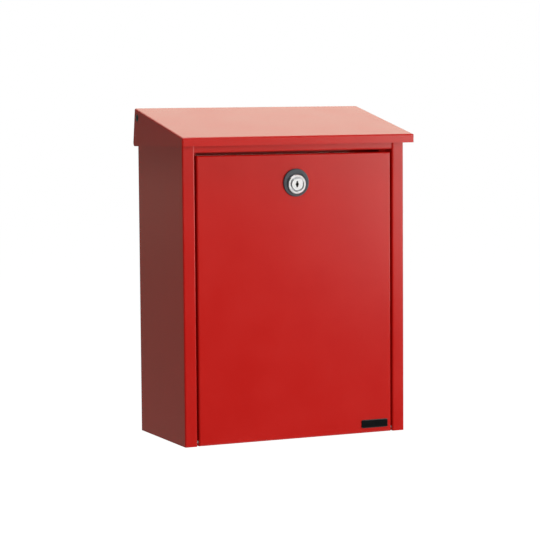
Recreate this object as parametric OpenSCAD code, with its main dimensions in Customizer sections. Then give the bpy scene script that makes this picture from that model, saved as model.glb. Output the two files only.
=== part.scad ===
// Wall letter box of folded, powder-coated sheet steel.
// A C-shaped shell carries a sloping lid on two plastic pivots, a door that drops
// forward on two rivet pins, and a cam lock that holds the door behind the top rail.
// The back face lies on the plane y = 0 and the front looks along -Y. The origin is
// the middle of the four screw holes in the back. The lid and the door are closed, and
// the cam hangs down, so the door is free to open.

/* [Body] */
// Width of the steel shell, outside
box_w = 270; // [240:1:320]
// Depth of the steel shell, from the wall to the front face
box_d = 136; // [115:1:170]
// Height of the lid's rear edge, the highest point
total_h = 370; // [340:1:430]
// Thickness of every steel sheet
sheet = 1; // [0.8:0.1:1.2]
// Inside radius of every fold
bend_r = 0.8; // [0.5:0.1:1]
// Width of the folded post on each side of the door
post_w = 14.4; // [12:0.1:20]
// Depth of the recess that the door closes into
recess_d = 17; // [14:0.5:22]
// Width of the lip that stops the door at the recess's rear
stop_w = 8; // [6:0.5:12]
// Height of the flanges round the bottom tray
tray_h = 12; // [8:1:18]

/* [Lid] */
// Slope of the roof in degrees
pitch = 12.2; // [8:0.1:16]
// How far the lid stands out beyond each side of the shell
lid_side = 5.8; // [5:0.1:9]
// How far the lid stands out beyond the front of the shell
lid_front = 15; // [8:0.5:20]
// Height of the lid's front lip
lip_h = 9.4; // [6:0.2:12]
// Height of the lid's side flange at its rear end
flange_h = 43; // [38:0.2:50]
// Gap between the roof's rear edge and the wall
roof_wall_gap = 7.4; // [6:0.1:9]
// Distance of the lid's pivot axis from the wall
pivot_wall = 14; // [11:0.5:15]
// Diameter of the pivot's face in the lid's flange
pivot_face_d = 8.3; // [7:0.1:9]
// Diameter of the pivot's spigot in the shell's side
spigot_d = 6; // [5:0.1:6.5]
// Height of the pivot's domed face
pivot_dome = 1; // [0.4:0.1:1.5]

/* [Top rail and slot] */
// Height of the top rail that shows below the lid
rail_show = 7.8; // [6:0.2:14]
// How far the top rail's face stands behind the posts
rail_set = 1.5; // [1:0.1:2.5]
// Height of the top rail's rear upstand, which the cam hooks behind
rail_hook = 9; // [8:0.5:12]
// Width of the mail slot, front to rear
slot_w = 38; // [30:1:45]
// Length of the baffle that hangs behind the slot
baffle_h = 25; // [15:1:35]

/* [Door] */
// Gap between the door and each post
door_side_gap = 2.3; // [1.5:0.1:3]
// Gap between the door and the top rail
door_top_gap = 2.8; // [1.5:0.1:4]
// Height of the door's lower edge above the base
door_foot_gap = 0; // [0:0.1:1]
// Depth of the door's lower flange
door_foot_d = 7; // [6.5:0.1:8]
// Diameter of the door's hinge pins
door_pin_d = 3; // [2.5:0.1:3.4]
// Height of the hinge pins above the door's lower edge
door_pin_up = 4.5; // [4.2:0.1:5.5]
// Distance of the hinge pins behind the door's face
door_pin_in = 4.5; // [4.2:0.1:5.5]

/* [Lock] */
// Distance of the lock's axis below the door's top edge
lock_drop = 33.6; // [32:0.1:38]
// Diameter of the threaded barrel
barrel_d = 19; // [18:0.1:20]
// Width of the barrel across its flats
barrel_flat = 16; // [15:0.1:17]
// Width of the head's rim beyond the barrel
head_rim = 1.2; // [1:0.1:2]
// How far the lock's face stands in front of the door
head_proud = 4.4; // [3.5:0.1:6]
// Diameter of the turning plug
plug_d = 13; // [12:0.1:13.5]
// Width of the sunk ring round the plug
ring_w = 2; // [1:0.1:2.2]
// Height of the keyhole
keyhole_h = 6.6; // [5:0.1:8]
// Gap round the head in the rosette
rosette_gap = 1.4; // [1:0.1:2]
// Width of the rosette's rim
rosette_rim = 3.4; // [3:0.1:5]
// Thickness of the rosette
rosette_t = 2.2; // [1.8:0.1:3]
// How far the rosette's centre lies above the lock's axis
rosette_rise = 1.7; // [0:0.1:2]
// Reach of the cam from the lock's axis to its tip
cam_reach = 42; // [41:0.5:46]
// Width of the cam
cam_w = 15; // [13:0.5:18]
// Thickness of the cam
cam_t = 2; // [1.5:0.1:3]

/* [Badge] */
// Width of the plain badge
badge_w = 33; // [20:1:60]
// Height of the plain badge
badge_h = 9.4; // [6:0.1:14]
// Thickness of the plain badge
badge_t = 0.8; // [0.5:0.1:1.5]
// Gap between the badge and the door's right edge
badge_side = 4.9; // [3:0.1:20]
// Gap between the badge and the door's lower edge
badge_up = 5.7; // [4:0.1:20]

/* [Wall mounting] */
// Diameter of the screw holes in the back
hole_d = 7; // [5:0.5:9]
// Distance between the screw holes, side to side
hole_span_x = 180; // [120:5:200]
// Distance between the screw holes, up and down
hole_span_z = 230; // [160:5:240]
// Height of the middle of the screw holes above the base
hole_mid = 180; // [165:5:190]

/* [Hidden] */
$fn = 96;

paint = [0.74, 0.15, 0.13];
nylon = [0.13, 0.14, 0.15];
zinc = [0.78, 0.78, 0.8];

// Clearances: a turning fit, a fixed fit, a face that moves past another, and the
// seat of the closed door
run_gap = 0.06;
fix_gap = 0.05;
face_gap = 0.3;
door_stop_gap = 0.5;
// Margin for cutting tools beyond the surface that they cut
past = 1;

// Folded sheet: outside radius of a bend
corner = sheet + bend_r;

// Heights of the base and of the lid's rear edge
base_z = -hole_mid;
top_z = base_z + total_h;

// Roof heights: outer face, and the pivot below it
lid_w = box_w + 2 * lid_side;
lid_front_y = -box_d - lid_front;
function roof_z(y) = top_z + (y + roof_wall_gap) * tan(pitch);
sheet_drop = sheet / cos(pitch);
pivot_drop = 9.1;
pivot_y = -pivot_wall;
pivot_z = roof_z(pivot_y) - pivot_drop / cos(pitch);
lip_low = roof_z(lid_front_y) - lip_h;
lid_rear_gap = 0.5;
lid_rear_round = 4;

// Shell: the sides stop short of the roof and end in a round ear about the pivot.
// Behind the ears the sides and the back stop just below the path that the roof's
// rear edge swings through as the lid opens.
lid_open = 95;
side_drop = 1.5;
ear_r = pivot_drop - sheet - side_drop;
swing_r = norm([pivot_wall - roof_wall_gap, top_z - pivot_z]) + face_gap;
swing_dip = sqrt(max(0, pow(swing_r, 2) - pow(pivot_wall - sheet, 2)));
edge_dip = swing_r * sin(lid_open - atan2(top_z - pivot_z, pivot_wall - roof_wall_gap));
back_top = pivot_z - max(swing_dip, edge_dip) - face_gap;

// Top rail and door
rail_low = lip_low - rail_show;
rail_y = -box_d + rail_set;
open_w = box_w - 2 * post_w;
stop_y = -box_d + recess_d;
door_w = open_w - 2 * door_side_gap;
door_low = base_z + door_foot_gap;
door_top = rail_low - door_top_gap;
door_rear_y = stop_y - door_stop_gap;
door_pin_y = -box_d + door_pin_in;
door_pin_z = door_low + door_pin_up;

// Slot plate: its deck lies below the roof and parallel to it
deck_rear_z = back_top - 6;
slot_rear_y = stop_y + slot_w;

// Lock, measured along its axis forward from the door's outer face
lock_z = door_top - lock_drop;
head_d = barrel_d + 2 * head_rim;
floor_t = 1;
pocket_d = head_d + 2 * rosette_gap;
pocket_rise = rosette_rise / 2;
rosette_d = pocket_d + 2 * rosette_rim;
washer_t = 0.8;
nut_t = 4;
nut_af = barrel_d + 5;
tenon = 7;
cam_front = -recess_d - door_stop_gap;
barrel_end = cam_front + 0.2;

module mirrored() {
    children();
    mirror([1, 0, 0]) children();
}

// 2D in (x, y), drawn up from the base past the highest point
module from_base() {
    translate([0, 0, base_z]) linear_extrude(total_h + past) children();
}

// 2D in (y, z), drawn out along X over a width
module along_x(width) {
    rotate([90, 0, 90]) linear_extrude(width, center = true) children();
}

// Local z runs out of the door's face along the lock's axis
module on_lock() {
    translate([0, -box_d, lock_z]) rotate([90, 0, 0]) children();
}

// Solid cylinder between two heights on the local z axis
module disc(d, from, to) {
    translate([0, 0, from]) cylinder(h = to - from, d = d);
}

// Round bar along X between two places, at one (y, z)
module bar_x(d, from, to, y, z) {
    translate([from, y, z]) rotate([0, 90, 0]) cylinder(h = to - from, d = d);
}

// Polygon whose convex corners have true radii
function unit(v) = v / norm(v);
function half_angle(a, v, b) = acos(unit(a - v) * unit(b - v)) / 2;
function corner_points(a, v, b, r) =
    r == 0 ? [v] : let (d = r / tan(half_angle(a, v, b))) [v + unit(a - v) * d, v + unit(b - v) * d];
function corner_centre(a, v, b, r) =
    v + unit(unit(a - v) + unit(b - v)) * r / sin(half_angle(a, v, b));

module rounded_polygon(points, radii) {
    n = len(points);
    before = function(i) points[(i + n - 1) % n];
    after = function(i) points[(i + 1) % n];
    polygon([for (i = [0:n - 1]) each corner_points(before(i), points[i], after(i), radii[i])]);
    for (i = [0:n - 1])
        if (radii[i] > 0)
            translate(corner_centre(before(i), points[i], after(i), radii[i])) circle(radii[i]);
}

// Part of a ring between two angles, at most 120 degrees apart, with a hair's
// overlap at each end so that it always joins the flats
module ring_part(from, to) {
    hair = 0.002;
    reach = 2 * corner;
    middle = (from + to) / 2;
    intersection() {
        difference() {
            circle(corner);
            circle(bend_r);
        }
        polygon([[0, 0], for (a = [from - hair, middle, to + hair]) reach * [cos(a), sin(a)]]);
    }
}

// Section of a folded sheet: [flat length, turn] steps walked along its outer face.
// A positive turn folds towards the sheet's own thickness.
module folded(steps, i = 0) {
    if (i < len(steps)) {
        flat = steps[i][0];
        turn = steps[i][1];
        square([flat, sheet]);
        if (turn > 0)
            translate([flat, corner]) {
                ring_part(-90, turn - 90);
                rotate(turn) translate([0, -corner]) folded(steps, i + 1);
            }
        if (turn < 0)
            translate([flat, -bend_r]) {
                ring_part(90 + turn, 90);
                rotate(turn) translate([0, bend_r]) folded(steps, i + 1);
            }
    }
}

// Half of the shell's plan: back, side, post, recess wall and door stop
module shell_half_plan() {
    rotate(180) folded([
        [box_w / 2 - corner, 90],
        [box_d - 2 * corner, 90],
        [post_w - 2 * corner, 90],
        [recess_d - corner - bend_r, -90],
        [stop_w - bend_r, 0],
    ]);
}

// Side view of the shell: sloping top, pivot ear and lower back
module shell_outline() {
    side_top = function(y) roof_z(y) - (sheet + side_drop) / cos(pitch);
    front = -box_d - past;
    ear_y = pivot_y + ear_r;
    polygon([
        [front, base_z],
        [past, base_z],
        [past, back_top],
        [ear_y, back_top],
        [ear_y, pivot_z],
        [pivot_y - ear_r * sin(pitch), pivot_z + ear_r * cos(pitch)],
        [front, side_top(front)],
    ]);
    translate([pivot_y, pivot_z]) circle(ear_r);
}

module body_shell() {
    color(paint) difference() {
        intersection() {
            from_base() mirrored() shell_half_plan();
            along_x(box_w + 2 * past) shell_outline();
        }
        bar_x(spigot_d + 2 * run_gap, -box_w, box_w, pivot_y, pivot_z);
        bar_x(door_pin_d + 2 * fix_gap, -open_w / 2 - post_w / 2, open_w / 2 + post_w / 2,
            door_pin_y, door_pin_z);
        for (x = [-1, 1], z = [-1, 1])
            translate([x * hole_span_x / 2, past, z * hole_span_z / 2])
                rotate([90, 0, 0]) cylinder(h = sheet + 2 * past, d = hole_d);
    }
}

// Tray with four upright flanges and open corners, welded in between the sides
module bottom_tray() {
    inner_w = box_w - 2 * sheet;
    tray_d = -stop_y - 2 * sheet;
    flat_w = inner_w - 2 * corner;
    flat_d = tray_d - 2 * corner;
    flange = tray_h - corner;
    color(paint) translate([0, -sheet, base_z]) {
        translate([0, -tray_d / 2, 0]) rotate([90, 0, 0]) linear_extrude(flat_d, center = true)
            mirrored() folded([[inner_w / 2 - corner, 90], [flange, 0]]);
        along_x(flat_w) translate([-tray_d / 2, 0])
            mirrored() folded([[tray_d / 2 - corner, 90], [flange, 0]]);
    }
}

// Rail between the posts: sloping top flange, face, lower flange and rear upstand
module top_rail() {
    depth = stop_y - rail_y;
    seat_drop = (sheet + face_gap) / cos(pitch);
    crown = roof_z(rail_y) - seat_drop;
    face_turn = 90 - pitch;
    top_cut = corner * tan(face_turn / 2);
    top_rear = 3;
    top_y = stop_y - top_rear;
    end_r = bend_r + 0.2;
    half_w = open_w / 2;
    color(paint) intersection() {
        along_x(open_w) translate([top_y, roof_z(top_y) - seat_drop])
            rotate(180 + pitch) folded([
                [(depth - top_rear) / cos(pitch) - top_cut, face_turn],
                [crown - rail_low - top_cut - corner, 90],
                [depth - 2 * corner, 90],
                [rail_hook - corner, 0],
            ]);
        // Rear corners rounded to sit in the folds behind the posts
        from_base() rounded_polygon(
            [[-half_w, -box_d], [half_w, -box_d], [half_w, stop_y], [-half_w, stop_y]],
            [0, 0, end_r, end_r]);
    }
}

// Deck below the lid, with a flange on the back and a baffle behind the slot
module slot_plate() {
    rear_flange = 12;
    rear_turn = 90 + pitch;
    rear_cut = corner * tan(rear_turn / 2);
    front_turn = 90 - pitch;
    front_cut = corner * tan(front_turn / 2);
    deck = (-sheet - slot_rear_y) / cos(pitch);
    color(paint) along_x(box_w - 2 * corner)
        translate([-sheet, deck_rear_z - rear_flange])
            rotate(90) folded([
                [rear_flange - rear_cut, rear_turn],
                [deck - rear_cut - front_cut, front_turn],
                [baffle_h - front_cut, 0],
            ]);
}

// Envelope of the lid, shrunk by one sheet for the hollow. Its three views are
// drawn out and crossed, so that the folds meet in mitred, rounded corners.
module lid_envelope(inset, round_r, side_view, radii) {
    half_w = lid_w / 2 - inset;
    intersection() {
        along_x(lid_w + past) rounded_polygon(side_view, radii);
        from_base() rounded_polygon(
            [[-half_w, box_d], [-half_w, lid_front_y + inset], [half_w, lid_front_y + inset], [half_w, box_d]],
            [0, round_r, round_r, 0]);
        translate([0, -roof_wall_gap, top_z]) rotate([pitch, 0, 0])
            rotate([90, 0, 0]) linear_extrude(4 * box_d, center = true) rounded_polygon(
                [[-half_w, -box_d], [half_w, -box_d], [half_w, -inset], [-half_w, -inset]],
                [0, 0, round_r, round_r]);
    }
}

module lid() {
    front_in = lid_front_y + sheet;
    deep = lip_low - box_d;
    color(paint) difference() {
        lid_envelope(0, corner, [
            [-roof_wall_gap, top_z],
            [lid_front_y, roof_z(lid_front_y)],
            [lid_front_y, lip_low],
            [-lid_rear_gap, top_z - flange_h],
        ], [0, corner, 0, lid_rear_round]);
        lid_envelope(sheet, bend_r, [
            [box_d, roof_z(box_d) - sheet_drop],
            [front_in, roof_z(front_in) - sheet_drop],
            [front_in, deep],
            [box_d, deep],
        ], [0, bend_r, 0, 0]);
        bar_x(pivot_face_d + 2 * fix_gap, -lid_w, lid_w, pivot_y, pivot_z);
    }
}

// Moulded pivot: a domed face in the lid's flange, a collar that keeps the lid clear
// of the shell, and a spigot that turns in the shell's side. Drawn for the right side.
clip_t = 0.6;
clip_x = box_w / 2 - sheet - face_gap;
module lid_pivot() {
    face_x = lid_w / 2;
    face_r = pivot_face_d / 2;
    dome_r = (pow(face_r, 2) + pow(pivot_dome, 2)) / (2 * pivot_dome);
    collar_d = pivot_face_d + 2.5;
    collar_x = box_w / 2 + face_gap;
    spigot_end = clip_x - clip_t - 1.2;
    color(nylon) {
        bar_x(pivot_face_d, face_x - sheet, face_x, pivot_y, pivot_z);
        translate([face_x, pivot_y, pivot_z]) rotate([0, 90, 0]) rotate_extrude() intersection() {
            translate([0, pivot_dome - dome_r]) circle(dome_r);
            square([face_r, pivot_dome]);
        }
        bar_x(collar_d, collar_x, face_x - sheet, pivot_y, pivot_z);
        bar_x(spigot_d, spigot_end, collar_x, pivot_y, pivot_z);
    }
}
module lid_pivot_right() { lid_pivot(); }
module lid_pivot_left() { mirror([1, 0, 0]) lid_pivot(); }

// Push-on ring that keeps the spigot in the shell's side
module lid_clip() {
    color(zinc) difference() {
        bar_x(spigot_d + 4.6, clip_x - clip_t, clip_x, pivot_y, pivot_z);
        bar_x(spigot_d + 0.04, clip_x - clip_t - past, clip_x + past, pivot_y, pivot_z);
    }
}
module lid_clip_right() { lid_clip(); }
module lid_clip_left() { mirror([1, 0, 0]) lid_clip(); }

// Envelope of the door's pan, shrunk by one sheet for the hollow
module door_envelope(inset, round_r, rear_y) {
    half_w = door_w / 2 - inset;
    front_y = -box_d + inset;
    intersection() {
        along_x(door_w + past) rounded_polygon(
            [[front_y, door_low + inset], [rear_y, door_low + inset],
             [rear_y, door_top - inset], [front_y, door_top - inset]],
            [round_r, 0, 0, round_r]);
        from_base() rounded_polygon(
            [[-half_w, rear_y], [-half_w, front_y], [half_w, front_y], [half_w, rear_y]],
            [0, round_r, round_r, 0]);
    }
}

// Round bar with two flats
module double_d(d, flat, from, to) {
    intersection() {
        disc(d, from, to);
        translate([-flat / 2, -d, from]) cube([flat, 2 * d, to - from]);
    }
}

module door() {
    foot_y = -box_d + door_foot_d;
    foot_z = door_low + sheet + 0.1;
    rise = door_rear_y - foot_y;
    color(paint) difference() {
        door_envelope(0, corner, door_rear_y);
        door_envelope(sheet, bend_r, door_rear_y + past);
        // The lower flange is short and the side flanges are cut back, to swing clear
        along_x(door_w + past) polygon([
            [foot_y, base_z - past],
            [door_rear_y + past, base_z - past],
            [door_rear_y + past, foot_z + rise + past],
            [foot_y, foot_z],
        ]);
        bar_x(door_pin_d + 2 * run_gap, -box_w, box_w, door_pin_y, door_pin_z);
        on_lock() double_d(barrel_d + 0.2, barrel_flat + 0.2, -sheet - past, past);
    }
}

// Rivet pin: headed inside the door and peened over inside the post
module door_pin() {
    wall = open_w / 2;
    door_in = door_w / 2 - sheet;
    head_t = 1.4;
    tail_t = 1.2;
    color(zinc) {
        bar_x(door_pin_d + 2, door_in - face_gap - head_t, door_in - face_gap, door_pin_y, door_pin_z);
        bar_x(door_pin_d, door_in - face_gap, wall + sheet, door_pin_y, door_pin_z);
        bar_x(door_pin_d + 2, wall + sheet, wall + sheet + tail_t, door_pin_y, door_pin_z);
    }
}
module door_pin_right() { door_pin(); }
module door_pin_left() { mirror([1, 0, 0]) door_pin(); }

module badge_plate() {
    right = door_w / 2 - badge_side;
    low = door_low + badge_up;
    badge_r = 1.6;
    color(nylon) translate([0, -box_d, 0]) rotate([90, 0, 0]) linear_extrude(badge_t)
        rounded_polygon(
            [[right - badge_w, low], [right, low], [right, low + badge_h], [right - badge_w, low + badge_h]],
            [badge_r, badge_r, badge_r, badge_r]);
}

// Ring that the head stands in: its pocket and its rim lie a little above the lock
module lock_rosette() {
    edge = 0.9;
    rim_r = rosette_d / 2;
    color(nylon) on_lock() difference() {
        translate([0, rosette_rise, 0]) rotate_extrude() rounded_polygon(
            [[0, 0], [rim_r, 0], [rim_r, rosette_t], [0, rosette_t]], [0, 0, edge, 0]);
        translate([0, pocket_rise, 0]) disc(pocket_d, floor_t, rosette_t + past);
        disc(barrel_d + 0.2, -past, rosette_t);
    }
}

// Head and barrel with two flats, bored for the plug, with a sunk ring in the face
module lock_housing() {
    ring_depth = 1.2;
    bore_d = plug_d + 2 * run_gap;
    rim_cut = 0.6;
    color(zinc) on_lock() difference() {
        union() {
            disc(head_d, floor_t, head_proud - rim_cut);
            translate([0, 0, head_proud - rim_cut])
                cylinder(h = rim_cut, d1 = head_d, d2 = head_d - 2 * rim_cut);
            double_d(barrel_d, barrel_flat, barrel_end, floor_t);
        }
        disc(bore_d, barrel_end - past, head_proud + past);
        translate([0, 0, head_proud - ring_depth])
            cylinder(h = ring_depth + 0.01, d1 = bore_d, d2 = plug_d + 2 * ring_w);
    }
}

module lock_washer() {
    color(zinc) on_lock() difference() {
        disc(nut_af, -sheet - washer_t, -sheet);
        disc(barrel_d + 0.2, -sheet - washer_t - past, -sheet + past);
    }
}

module lock_nut() {
    front = -sheet - washer_t;
    color(zinc) on_lock() difference() {
        intersection() {
            translate([0, 0, front - nut_t]) cylinder(h = nut_t, d = nut_af / cos(30), $fn = 6);
            disc(nut_af * 1.12, front - nut_t, front);
        }
        disc(barrel_d + 0.1, front - nut_t - past, front + past);
    }
}

// Turning core: face flush with the head, keyway, and a square tenon for the cam
module lock_plug() {
    keyway_w = 2.2;
    key_depth = 14;
    lead_w = 4.4;
    lead_h = keyhole_h + 1;
    lead_depth = 1.2;
    tenon_end = cam_front - cam_t;
    color(zinc) on_lock() difference() {
        union() {
            disc(plug_d, barrel_end, head_proud);
            translate([-tenon / 2, -tenon / 2, tenon_end])
                cube([tenon, tenon, barrel_end - tenon_end]);
        }
        translate([-keyway_w / 2, -keyhole_h / 2, head_proud - key_depth])
            cube([keyway_w, keyhole_h, key_depth + past]);
        // Diamond-shaped lead-in for the key
        translate([0, 0, head_proud + 0.01]) mirror([0, 0, 1]) linear_extrude(lead_depth, scale = 0.4)
            polygon([[lead_w / 2, 0], [0, lead_h / 2], [-lead_w / 2, 0], [0, -lead_h / 2]]);
        disc(5, tenon_end - past, barrel_end + 1);
    }
}

// Lever on the tenon, hanging down
module cam_lever() {
    tip = cam_reach - cam_w / 2;
    color(zinc) on_lock() translate([0, 0, cam_front - cam_t]) linear_extrude(cam_t) difference() {
        union() {
            circle(d = cam_w);
            translate([-cam_w / 2, -tip]) square([cam_w, tip]);
            translate([0, -tip]) circle(d = cam_w);
        }
        square(tenon + 0.1, center = true);
    }
}

screw_washer_t = 1;
module cam_washer() {
    rear = cam_front - cam_t;
    color(zinc) on_lock() difference() {
        disc(11, rear - screw_washer_t, rear);
        disc(5.2, rear - screw_washer_t - past, rear + past);
    }
}

module cam_screw() {
    seat = cam_front - cam_t - screw_washer_t;
    color(zinc) on_lock() difference() {
        union() {
            disc(9, seat - 2.2, seat);
            disc(4.9, seat, barrel_end + 0.5);
        }
        for (turn = [0, 90]) rotate(turn) translate([-2.6, -0.6, seat - 2.2 - past])
            cube([5.2, 1.2, 1.3 + past]);
    }
}

body_shell();
bottom_tray();
top_rail();
slot_plate();
lid();
lid_pivot_left();
lid_pivot_right();
lid_clip_left();
lid_clip_right();
door();
door_pin_left();
door_pin_right();
badge_plate();
lock_rosette();
lock_housing();
lock_washer();
lock_nut();
lock_plug();
cam_lever();
cam_washer();
cam_screw();
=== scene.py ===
import math

import bmesh
import bpy
from mathutils import Matrix, Vector


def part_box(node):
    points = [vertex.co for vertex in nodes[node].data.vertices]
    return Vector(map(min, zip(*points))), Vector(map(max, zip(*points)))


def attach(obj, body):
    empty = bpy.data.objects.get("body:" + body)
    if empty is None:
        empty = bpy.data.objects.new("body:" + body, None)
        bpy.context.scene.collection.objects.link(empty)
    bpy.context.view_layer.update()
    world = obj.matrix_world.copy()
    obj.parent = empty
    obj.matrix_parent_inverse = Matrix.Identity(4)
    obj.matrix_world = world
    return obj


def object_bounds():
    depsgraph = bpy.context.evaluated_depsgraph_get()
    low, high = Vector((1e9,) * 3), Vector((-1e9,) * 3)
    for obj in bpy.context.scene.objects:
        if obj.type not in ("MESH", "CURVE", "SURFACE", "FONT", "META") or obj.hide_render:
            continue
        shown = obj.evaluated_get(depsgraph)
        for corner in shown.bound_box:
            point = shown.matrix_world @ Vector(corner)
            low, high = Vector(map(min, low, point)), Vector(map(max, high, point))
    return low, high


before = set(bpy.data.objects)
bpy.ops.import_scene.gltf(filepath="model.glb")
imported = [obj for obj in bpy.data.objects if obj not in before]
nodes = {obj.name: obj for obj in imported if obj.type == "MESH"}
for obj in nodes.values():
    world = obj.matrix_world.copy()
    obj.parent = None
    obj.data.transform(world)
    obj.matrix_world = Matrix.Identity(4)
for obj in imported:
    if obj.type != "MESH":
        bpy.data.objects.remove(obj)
cad_low, cad_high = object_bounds()

# Shell, bottom tray and slot plate: 1 mm steel sheet, punched, folded and spot welded,
# then sprayed with polyester powder and baked. The powder flows into one even red skin
# that covers every face and fold, inside and out.
mm = 0.001


def linear(hex_colour):
    """sRGB hex to linear RGBA."""
    parts = [int(hex_colour[i : i + 2], 16) / 255 for i in (1, 3, 5)]
    flat = [c / 12.92 if c <= 0.04045 else ((c + 0.055) / 1.055) ** 2.4 for c in parts]
    return (*flat, 1.0)


def add_node(tree, kind, links=(), **settings):
    """Adds a shader node. Settings are attributes, or input values by socket name
    with spaces as underscores, and links are (input, other node, output)."""
    made = tree.nodes.new(kind)
    for name, value in settings.items():
        socket = made.inputs.get(name.replace("_", " "))
        if socket is not None and name[0].isupper():
            socket.default_value = value
        else:
            setattr(made, name, value)
    for name, other, output in links:
        tree.links.new(other.outputs[output], made.inputs[name])
    return made


# Polyester powder coat, satin, baked on steel: an even, clean red with a soft gloss.
# Its orange peel is a wave of about 1.6 mm, too low to see but enough to unsettle the
# reflections, and the film's thickness shifts tint and gloss over tens of mm.
peel_wave = 1.6 * mm
film_patch = 45 * mm
powder_coat = bpy.data.materials.new("red_polyester_powder_coat")
powder_coat.use_nodes = True
tree = powder_coat.node_tree
tree.nodes.clear()
place = add_node(tree, "ShaderNodeTexCoord")
peel = add_node(
    tree,
    "ShaderNodeTexNoise",
    [("Vector", place, "Object")],
    Scale=1 / peel_wave,
    Detail=2.0,
    Roughness=0.5,
)
film = add_node(
    tree,
    "ShaderNodeTexNoise",
    [("Vector", place, "Object")],
    Scale=1 / film_patch,
    Detail=3.0,
    Roughness=0.55,
)
tint = add_node(tree, "ShaderNodeValToRGB", [("Fac", film, "Fac")])
tint.color_ramp.elements[0].position = 0.3
tint.color_ramp.elements[0].color = linear("#BA130E")
tint.color_ramp.elements[1].position = 0.7
tint.color_ramp.elements[1].color = linear("#BE1510")
gloss = add_node(
    tree,
    "ShaderNodeMapRange",
    [("Value", film, "Fac")],
    From_Min=0.3,
    From_Max=0.7,
    To_Min=0.21,
    To_Max=0.25,
)
relief = add_node(tree, "ShaderNodeBump", [("Height", peel, "Fac")], Strength=0.06, Distance=0.05 * mm)
skin = add_node(
    tree,
    "ShaderNodeBsdfPrincipled",
    [("Base Color", tint, "Color"), ("Roughness", gloss, "Result"), ("Normal", relief, "Normal")],
    IOR=1.5,
)
add_node(tree, "ShaderNodeOutputMaterial", [("Surface", skin, "BSDF")])


def finish(node_names, material):
    """Gives CAD nodes a material in every slot."""
    for name in node_names:
        for material_slot in nodes[name].material_slots:
            material_slot.material = material


finish(["body_shell", "bottom_tray", "slot_plate"], powder_coat)

# Top rail: a strip of the same sheet, folded four times and welded between the posts.
# It closes the front above the door, stiffens it, and the lock's cam hooks behind it.
finish(["top_rail"], powder_coat)

# Lid: one sheet with a roof, two side flanges and a front lip. Its corners are closed
# by weld and ground round before the coat goes on, so no joint shows.
finish(["lid"], powder_coat)

# Lid pivots: plugs of black nylon, pushed through the lid's flanges into the shell's
# sides. Their domed faces sit in the flanges, and the lid turns with them.

# Nylon 6 with glass fibre, moulded: a dark grey-black with a faint sheen. The fine
# grain of the spark-eroded mould is drawn at 0.6 mm, twice its real width, to show.
mould_grain = 0.6 * mm
black_nylon = bpy.data.materials.new("black_moulded_nylon")
black_nylon.use_nodes = True
tree = black_nylon.node_tree
tree.nodes.clear()
place = add_node(tree, "ShaderNodeTexCoord")
grain = add_node(
    tree,
    "ShaderNodeTexNoise",
    [("Vector", place, "Object")],
    Scale=1 / mould_grain,
    Detail=3.0,
)
tone = add_node(tree, "ShaderNodeValToRGB", [("Fac", grain, "Fac")])
tone.color_ramp.elements[0].color = linear("#2B2D2F")
tone.color_ramp.elements[1].color = linear("#393C3E")
relief = add_node(tree, "ShaderNodeBump", [("Height", grain, "Fac")], Strength=0.15, Distance=0.04 * mm)
skin = add_node(
    tree,
    "ShaderNodeBsdfPrincipled",
    [("Base Color", tone, "Color"), ("Normal", relief, "Normal")],
    Roughness=0.4,
    IOR=1.53,
)
add_node(tree, "ShaderNodeOutputMaterial", [("Surface", skin, "BSDF")])
finish(["lid_pivot_left", "lid_pivot_right"], black_nylon)

# Lid clips: push-on rings of spring steel that bite on the pivots' ends inside the
# shell. They are punched from strip, hardened, and left with a dark oiled phosphate.
phosphate_grain = 0.5 * mm
spring_steel = bpy.data.materials.new("phosphated_spring_steel")
spring_steel.use_nodes = True
tree = spring_steel.node_tree
tree.nodes.clear()
place = add_node(tree, "ShaderNodeTexCoord")
grain = add_node(
    tree,
    "ShaderNodeTexNoise",
    [("Vector", place, "Object")],
    Scale=1 / phosphate_grain,
    Detail=3.0,
)
tone = add_node(tree, "ShaderNodeValToRGB", [("Fac", grain, "Fac")])
tone.color_ramp.elements[0].color = linear("#5C5C5E")
tone.color_ramp.elements[1].color = linear("#77777A")
skin = add_node(
    tree,
    "ShaderNodeBsdfPrincipled",
    [("Base Color", tone, "Color")],
    Metallic=1.0,
    Roughness=0.45,
)
add_node(tree, "ShaderNodeOutputMaterial", [("Surface", skin, "BSDF")])
finish(["lid_clip_left", "lid_clip_right"], spring_steel)

# Door: a shallow pan of the same sheet, folded on four sides and coated red. It closes
# into the recess between the posts, with an even dark gap all round.
finish(["door"], powder_coat)

# Door pins: rivets of mild steel, turned, electroplated with zinc, and peened over
# inside the posts. The left one shows as a bright spot low in the gap.

# Bright zinc plate: a light, slightly bluish grey that dries a little cloudy
zinc_cloud = 2.5 * mm
zinc_plate = bpy.data.materials.new("bright_zinc_plate")
zinc_plate.use_nodes = True
tree = zinc_plate.node_tree
tree.nodes.clear()
place = add_node(tree, "ShaderNodeTexCoord")
cloud = add_node(
    tree,
    "ShaderNodeTexNoise",
    [("Vector", place, "Object")],
    Scale=1 / zinc_cloud,
    Detail=4.0,
)
tone = add_node(tree, "ShaderNodeValToRGB", [("Fac", cloud, "Fac")])
tone.color_ramp.elements[0].position = 0.35
tone.color_ramp.elements[0].color = linear("#B4B6B9")
tone.color_ramp.elements[1].position = 0.7
tone.color_ramp.elements[1].color = linear("#CFCFCC")
gloss = add_node(
    tree,
    "ShaderNodeMapRange",
    [("Value", cloud, "Fac")],
    From_Min=0.3,
    From_Max=0.7,
    To_Min=0.28,
    To_Max=0.42,
)
skin = add_node(
    tree,
    "ShaderNodeBsdfPrincipled",
    [("Base Color", tone, "Color"), ("Roughness", gloss, "Result")],
    Metallic=1.0,
)
add_node(tree, "ShaderNodeOutputMaterial", [("Surface", skin, "BSDF")])
finish(["door_pin_left", "door_pin_right"], zinc_plate)

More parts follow.
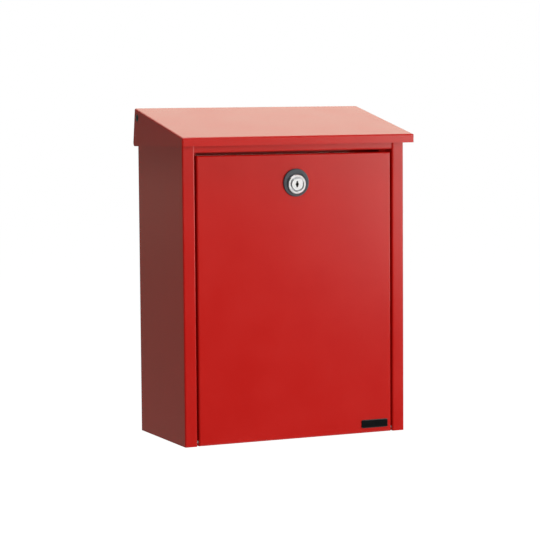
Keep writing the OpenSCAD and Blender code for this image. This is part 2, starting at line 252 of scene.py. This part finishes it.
# Badge: a small plate of black acrylic, glued to the door low on the right, with a
# drop of black resin that has set on it as a low dome. Its face is plain.
dome_rise = 0.45 * mm
dome_shoulder = 1.3 * mm
plate_round = 1.6 * mm
plate_low, plate_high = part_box("badge_plate")
corner_steps = 8
shoulder_rings = 6

# Cast acrylic and resin, black and glossy: deep, with sharp small reflections, and
# very slightly uneven where the resin has flowed
resin_flow = 6 * mm
black_acrylic = bpy.data.materials.new("black_cast_acrylic")
black_acrylic.use_nodes = True
tree = black_acrylic.node_tree
tree.nodes.clear()
place = add_node(tree, "ShaderNodeTexCoord")
flow = add_node(
    tree,
    "ShaderNodeTexNoise",
    [("Vector", place, "Object")],
    Scale=1 / resin_flow,
    Detail=1.0,
)
tone = add_node(tree, "ShaderNodeValToRGB", [("Fac", flow, "Fac")])
tone.color_ramp.elements[0].color = linear("#0C0E10")
tone.color_ramp.elements[1].color = linear("#121518")
relief = add_node(tree, "ShaderNodeBump", [("Height", flow, "Fac")], Strength=0.1, Distance=0.1 * mm)
skin = add_node(
    tree,
    "ShaderNodeBsdfPrincipled",
    [("Base Color", tone, "Color"), ("Normal", relief, "Normal")],
    Roughness=0.12,
    IOR=1.49,
)
add_node(tree, "ShaderNodeOutputMaterial", [("Surface", skin, "BSDF")])
finish(["badge_plate"], black_acrylic)


def plate_ring(mesh, inset, height):
    """Vertices round the plate's rounded outline, set in from it, at a height."""
    reach = plate_round - inset
    ring = []
    for corner in range(4):
        side_x = 1 if corner in (0, 3) else -1
        side_z = 1 if corner in (0, 1) else -1
        centre_x = (plate_low.x + plate_high.x + side_x * (plate_high.x - plate_low.x)) / 2
        centre_z = (plate_low.z + plate_high.z + side_z * (plate_high.z - plate_low.z)) / 2
        centre_x -= side_x * plate_round
        centre_z -= side_z * plate_round
        for step in range(corner_steps + 1):
            angle = (corner + step / corner_steps) * math.pi / 2
            x = centre_x + reach * math.cos(angle)
            z = centre_z + reach * math.sin(angle)
            ring.append(mesh.verts.new((x, plate_low.y - height, z)))
    return ring


mesh = bmesh.new()
foot = plate_ring(mesh, 0.0, 0.0)
mesh.faces.new(foot)
for step in range(1, shoulder_rings + 1):
    inward = step / shoulder_rings
    rise = dome_rise * math.sqrt(1 - (1 - inward) ** 2)
    ring = plate_ring(mesh, dome_shoulder * (1 - math.cos(inward * math.pi / 2)), rise)
    for index in range(len(ring)):
        after = (index + 1) % len(ring)
        mesh.faces.new((foot[index], foot[after], ring[after], ring[index]))
    foot = ring
mesh.faces.new(foot)
bmesh.ops.recalc_face_normals(mesh, faces=mesh.faces)
dome_mesh = bpy.data.meshes.new("badge_dome")
mesh.to_mesh(dome_mesh)
mesh.free()
dome_mesh.polygons.foreach_set("use_smooth", [True] * len(dome_mesh.polygons))
badge_dome = bpy.data.objects.new("badge_dome", dome_mesh)
bpy.context.scene.collection.objects.link(badge_dome)
dome_mesh.materials.append(black_acrylic)
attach(badge_dome, "door")

# Lock rosette: a ring moulded in slate-grey nylon. The lock's head stands in its
# pocket and clamps it to the door.
slate_nylon = black_nylon.copy()
slate_nylon.name = "slate_moulded_nylon"
tone = next(part for part in slate_nylon.node_tree.nodes if part.type == "VALTORGB")
tone.color_ramp.elements[0].color = linear("#383D47")
tone.color_ramp.elements[1].color = linear("#464B57")
finish(["lock_rosette"], slate_nylon)

# Lock housing and plug: die-cast zinc, the face turned clean, and nickel plated to a
# satin white. The plug carries the keyhole and turns in the housing's bore.
plug_low, plug_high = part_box("lock_plug")
lock_z = (plug_low.z + plug_high.z) / 2

# Satin nickel: a bright, even white metal. The tool's rings on the face are about
# 0.15 mm apart, drawn 1 mm apart to show. A wave at scale 1 repeats every 0.314 m.
turned_ring = 1.0 * mm
wave_repeat = 0.314
satin_nickel = bpy.data.materials.new("satin_nickel_plate")
satin_nickel.use_nodes = True
tree = satin_nickel.node_tree
tree.nodes.clear()
place = add_node(tree, "ShaderNodeTexCoord")
centred = add_node(tree, "ShaderNodeMapping", [("Vector", place, "Object")], Location=(0, 0, -lock_z))
rings = add_node(
    tree,
    "ShaderNodeTexWave",
    [("Vector", centred, "Vector")],
    wave_type="RINGS",
    rings_direction="Y",
    Scale=wave_repeat / turned_ring,
    Distortion=0.4,
    Detail=1.0,
)
tone = add_node(tree, "ShaderNodeValToRGB", [("Fac", rings, "Fac")])
tone.color_ramp.elements[0].color = linear("#DDDDE2")
tone.color_ramp.elements[1].color = linear("#E8E8EE")
relief = add_node(tree, "ShaderNodeBump", [("Height", rings, "Fac")], Strength=0.2, Distance=0.01 * mm)

# Painted shade: a dark diamond round the keyhole on the plug's face stands in for the shade in the
# keyhole's recess
keyhole_shade_half_w = 2.5 * mm
keyhole_shade_half_h = 4.2 * mm
parts = add_node(tree, "ShaderNodeSeparateXYZ", [("Vector", centred, "Vector")])
across = add_node(tree, "ShaderNodeMath", operation="ABSOLUTE")
tree.links.new(parts.outputs["X"], across.inputs[0])
wide = add_node(tree, "ShaderNodeMath", operation="MULTIPLY")
tree.links.new(across.outputs["Value"], wide.inputs[0])
wide.inputs[1].default_value = 1 / keyhole_shade_half_w
upward = add_node(tree, "ShaderNodeMath", operation="ABSOLUTE")
tree.links.new(parts.outputs["Z"], upward.inputs[0])
tall = add_node(tree, "ShaderNodeMath", operation="MULTIPLY_ADD")
tree.links.new(upward.outputs["Value"], tall.inputs[0])
tall.inputs[1].default_value = 1 / keyhole_shade_half_h
tree.links.new(wide.outputs["Value"], tall.inputs[2])
keyhole_shade = add_node(tree, "ShaderNodeValToRGB", [("Fac", tall, "Value")])
keyhole_shade.color_ramp.elements[0].position = 0.55
keyhole_shade.color_ramp.elements[0].color = linear("#56504B")
keyhole_shade.color_ramp.elements[1].position = 1.0
keyhole_shade.color_ramp.elements[1].color = linear("#FFFFFF")

# The Mix node's colours A, B and Result are its sockets 6, 7 and 2
# The plate's colour is multiplied by the painted keyhole shade
plate_and_keyhole_shade = add_node(tree, "ShaderNodeMix", data_type="RGBA", blend_type="MULTIPLY")
plate_and_keyhole_shade.inputs["Factor"].default_value = 1.0
tree.links.new(tone.outputs["Color"], plate_and_keyhole_shade.inputs[6])
tree.links.new(keyhole_shade.outputs["Color"], plate_and_keyhole_shade.inputs[7])
skin = add_node(
    tree,
    "ShaderNodeBsdfPrincipled",
    [("Normal", relief, "Normal")],
    Metallic=1.0,
    Roughness=0.3,
)
tree.links.new(plate_and_keyhole_shade.outputs[2], skin.inputs["Base Color"])
add_node(tree, "ShaderNodeOutputMaterial", [("Surface", skin, "BSDF")])
finish(["lock_housing", "lock_plug"], satin_nickel)

# Barrel thread: rolled on the two round sides of the barrel, with a 1 mm pitch. It
# shows behind the nut when the door is open.
thread_pitch = 1.0 * mm
thread_height = 0.28 * mm
barrel_r = 9.5 * mm
flat_half = 8 * mm
thread_steps = 18
thread_foot = 0.42 * thread_pitch
thread_sunk = 0.1 * mm
thread_trim = 0.98
nut_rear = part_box("lock_nut")[1].y
barrel_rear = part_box("lock_housing")[1].y
bare_start = 0.3 * mm
bare_end = 0.5 * mm
thread_start = nut_rear + bare_start
thread_turns = int((barrel_rear - thread_start - bare_end) / thread_pitch)
thread_arc = math.asin(flat_half / barrel_r) * thread_trim

mesh = bmesh.new()
for turn in range(thread_turns):
    for side in (0, 1):
        section = None
        for step in range(thread_steps + 1):
            angle = thread_arc * (2 * step / thread_steps - 1)
            taper = min(1.0, 4 * min(step, thread_steps - step) / thread_steps)
            along = thread_start + thread_pitch * (turn + 0.5 + side / 2 + angle / (2 * math.pi))
            ring = []
            crest = thread_height * taper
            for shift, out in ((-thread_foot, -thread_sunk), (0.0, crest), (thread_foot, -thread_sunk)):
                reach = barrel_r + out
                x = reach * math.sin(angle) * (1 - 2 * side)
                z = reach * math.cos(angle) * (1 - 2 * side)
                ring.append(mesh.verts.new((x, along + shift, lock_z + z)))
            if section is None:
                mesh.faces.new(ring)
            else:
                for index in range(3):
                    after = (index + 1) % 3
                    mesh.faces.new((section[index], section[after], ring[after], ring[index]))
            section = ring
        mesh.faces.new(section)
bmesh.ops.recalc_face_normals(mesh, faces=mesh.faces)
thread_mesh = bpy.data.meshes.new("barrel_thread")
mesh.to_mesh(thread_mesh)
mesh.free()
barrel_thread = bpy.data.objects.new("barrel_thread", thread_mesh)
bpy.context.scene.collection.objects.link(barrel_thread)
thread_mesh.materials.append(satin_nickel)
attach(barrel_thread, "door")

# Tumblers: thin steel plates across the keyway, each with a slot for the key. They are oiled and lie
# deep in the plug, and their steel is coloured near black as painted shade, so the keyhole looks dark.
tumbler_count = 6
tumbler_t = 0.9 * mm
tumbler_gap = 1.5 * mm
tumbler_w = 2.1 * mm
tumbler_h = 6.5 * mm
tumbler_slot_w = 0.9 * mm
tumbler_slot_h = 4.6 * mm
tumbler_front = plug_low.y + 1.7 * mm

oiled_steel_painted_dark = spring_steel.copy()
oiled_steel_painted_dark.name = "oiled_steel_painted_dark"
# Painted shade: these tones are darker than oiled steel, standing in for the shade inside the keyway
tone = next(part for part in oiled_steel_painted_dark.node_tree.nodes if part.type == "VALTORGB")
tone.color_ramp.elements[0].color = linear("#2E2B28")
tone.color_ramp.elements[1].color = linear("#3F3A35")

mesh = bmesh.new()
for count in range(tumbler_count):
    front = tumbler_front + count * tumbler_gap
    rims = []
    for y in (front, front + tumbler_t):
        for width, height in ((tumbler_w, tumbler_h), (tumbler_slot_w, tumbler_slot_h)):
            corners = ((-1, -1), (1, -1), (1, 1), (-1, 1))
            rims.append(
                [mesh.verts.new((a * width / 2, y, lock_z + b * height / 2)) for a, b in corners]
            )
    outer_front, inner_front, outer_rear, inner_rear = rims
    for index in range(4):
        after = (index + 1) % 4
        for a, b in (
            (outer_front, inner_front),
            (outer_rear, inner_rear),
            (outer_front, outer_rear),
            (inner_front, inner_rear),
        ):
            mesh.faces.new((a[index], a[after], b[after], b[index]))
bmesh.ops.recalc_face_normals(mesh, faces=mesh.faces)
tumbler_mesh = bpy.data.meshes.new("lock_tumblers")
mesh.to_mesh(tumbler_mesh)
mesh.free()
lock_tumblers = bpy.data.objects.new("lock_tumblers", tumbler_mesh)
bpy.context.scene.collection.objects.link(lock_tumblers)
tumbler_mesh.materials.append(oiled_steel_painted_dark)
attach(lock_tumblers, "lock_core")

# Washer, nut, cam, cam washer and screw: pressed and turned steel, zinc plated. The
# nut clamps the lock in the door, and the screw holds the cam on the plug's square.
finish(["lock_washer", "lock_nut", "cam_lever", "cam_washer", "cam_screw"], zinc_plate)

# Floor: white paper far below the box, which hangs in the air as if on a wall. It
# takes the box's shadow, and looks white to the eye by its own glow. Reflections see
# the paper as the lamps light it.
floor_drop = 0.75
floor_half = 15.0
floor_z = cad_low.z - floor_drop
floor_mesh = bpy.data.meshes.new("studio_floor")
corners = ((-1, -1), (1, -1), (1, 1), (-1, 1))
floor_mesh.from_pydata(
    [(a * floor_half, b * floor_half, floor_z) for a, b in corners],
    [],
    [(0, 1, 2, 3)],
)
floor = bpy.data.objects.new("studio_floor", floor_mesh)
bpy.context.scene.collection.objects.link(floor)
paper = bpy.data.materials.new("white_studio_paper")
paper.use_nodes = True
tree = paper.node_tree
tree.nodes.clear()
matt = add_node(tree, "ShaderNodeBsdfDiffuse", Color=(0.8, 0.8, 0.8, 1))
glow = add_node(tree, "ShaderNodeEmission", Color=(1, 1, 1, 1), Strength=0.97)
dark = add_node(tree, "ShaderNodeEmission", Strength=0.0)
sight = add_node(tree, "ShaderNodeLightPath")
clear = add_node(tree, "ShaderNodeMath", operation="MAXIMUM")
tree.links.new(sight.outputs["Is Camera Ray"], clear.inputs[0])
tree.links.new(sight.outputs["Is Transmission Ray"], clear.inputs[1])
seen = add_node(tree, "ShaderNodeMixShader", [("Fac", clear, "Value")])
tree.links.new(dark.outputs["Emission"], seen.inputs[1])
tree.links.new(glow.outputs["Emission"], seen.inputs[2])
both = add_node(tree, "ShaderNodeAddShader")
tree.links.new(matt.outputs["BSDF"], both.inputs[0])
tree.links.new(seen.outputs["Shader"], both.inputs[1])
add_node(tree, "ShaderNodeOutputMaterial", [("Surface", both, "Shader")])
floor_mesh.materials.append(paper)

# Studio: white all round to the eye and through glass. Reflections see a dimmer room,
# as they do in the photograph, where the coat's folds and shadows stay deep red.
world = bpy.data.worlds.new("white_studio")
bpy.context.scene.world = world
world.use_nodes = True
tree = world.node_tree
tree.nodes.clear()
sight = add_node(tree, "ShaderNodeLightPath")
fill = add_node(tree, "ShaderNodeBackground", Color=(1, 1, 1, 1), Strength=0.037)
mirrored = add_node(tree, "ShaderNodeBackground", Color=(1, 1, 0.86, 1), Strength=0.19)
white = add_node(tree, "ShaderNodeBackground", Color=(1, 1, 1, 1), Strength=1.0)
room = add_node(tree, "ShaderNodeMixShader", [("Fac", sight, "Is Glossy Ray")])
tree.links.new(fill.outputs["Background"], room.inputs[1])
tree.links.new(mirrored.outputs["Background"], room.inputs[2])
clear = add_node(tree, "ShaderNodeMath", operation="MAXIMUM")
tree.links.new(sight.outputs["Is Camera Ray"], clear.inputs[0])
tree.links.new(sight.outputs["Is Transmission Ray"], clear.inputs[1])
mixed = add_node(tree, "ShaderNodeMixShader", [("Fac", clear, "Value")])
tree.links.new(room.outputs["Shader"], mixed.inputs[1])
tree.links.new(white.outputs["Background"], mixed.inputs[2])
add_node(tree, "ShaderNodeOutputWorld", [("Surface", mixed, "Shader")])

# Lamps: softboxes and pale cards, each aimed at the box's middle. The right one grades
# the door's gloss, the high rear one pales the roof, the rear card lifts the shaded
# left side, and the front card pales the top of the door.


def softbox(name, azimuth, elevation, distance, width, height, radiance, colour=(1, 1, 1)):
    """A rectangular area lamp, seen from the box at an azimuth (0 in front, 90 to the
    right) and an elevation, both in degrees, with its radiance where white is 1."""
    a, e = math.radians(azimuth), math.radians(elevation)
    away = Vector((math.sin(a) * math.cos(e), -math.cos(a) * math.cos(e), math.sin(e)))
    lamp = bpy.data.lights.new(name, "AREA")
    lamp.shape = "RECTANGLE"
    lamp.size = width
    lamp.size_y = height
    lamp.energy = radiance * width * height * math.pi
    lamp.color = colour
    made = bpy.data.objects.new(name, lamp)
    made.location = away * distance
    made.rotation_mode = "QUATERNION"
    made.rotation_quaternion = away.to_track_quat("Z", "Y")
    bpy.context.scene.collection.objects.link(made)
    return made


front = softbox("front_softbox", -9, 5, 2.6, 1.5, 0.9, 6.94, (1.0, 0.96, 0.84))
softbox("right_softbox", 52, 8, 2.6, 2.3, 1.2, 3.72, (1.0, 0.985, 0.94))
softbox("top_softbox", 0, 80, 2.0, 1.3, 1.3, 5.2)
softbox("rear_softbox", 166, 30, 2.6, 2.6, 1.4, 1.375, (1.0, 0.95, 0.79))
softbox("rear_left_card", -154, -9, 2.6, 1.8, 0.9, 0.205, (1.0, 1.0, 0.79))
rear = softbox("rear_fill", 180, 5, 2.6, 1.2, 1.2, 4.0)
front_card = softbox("front_card", 14, 7, 2.6, 1.6, 0.6, 0.7, (1.0, 0.97, 0.88))
# The straight front and rear lamps give light but no glare, so that no fold has a
# bright line, and the front card gives only a faint glare
front.visible_glossy = False
rear.visible_glossy = False
front_card.visible_diffuse = False

# Camera: a long lens at the box's left front, a little above it. Its focal length, in
# pixels of a 540 pixel image, its axes and its place come from the box's edges.
lens_px = 2091.74
image_px = 540
sensor = 36.0
camera_place = Vector((-0.9788, -2.24006, 0.20725))
camera_data = bpy.data.cameras.new("camera")
camera_data.sensor_width = sensor
camera_data.lens = lens_px * sensor / image_px
camera_data.clip_start = 0.05
camera_data.clip_end = 100
camera = bpy.data.objects.new("camera", camera_data)
bpy.context.scene.collection.objects.link(camera)
right = Vector((0.9116421, -0.41091516, -0.00757673))
up = Vector((0.04170486, 0.07415313, 0.99637444))
back = Vector((-0.40886353, -0.90865287, 0.08473828))
turn = Matrix((right, up, back)).transposed()
camera.matrix_world = Matrix.Translation(camera_place) @ turn.to_4x4()
bpy.context.scene.camera = camera

bpy.context.scene.view_settings.view_transform = "Standard"
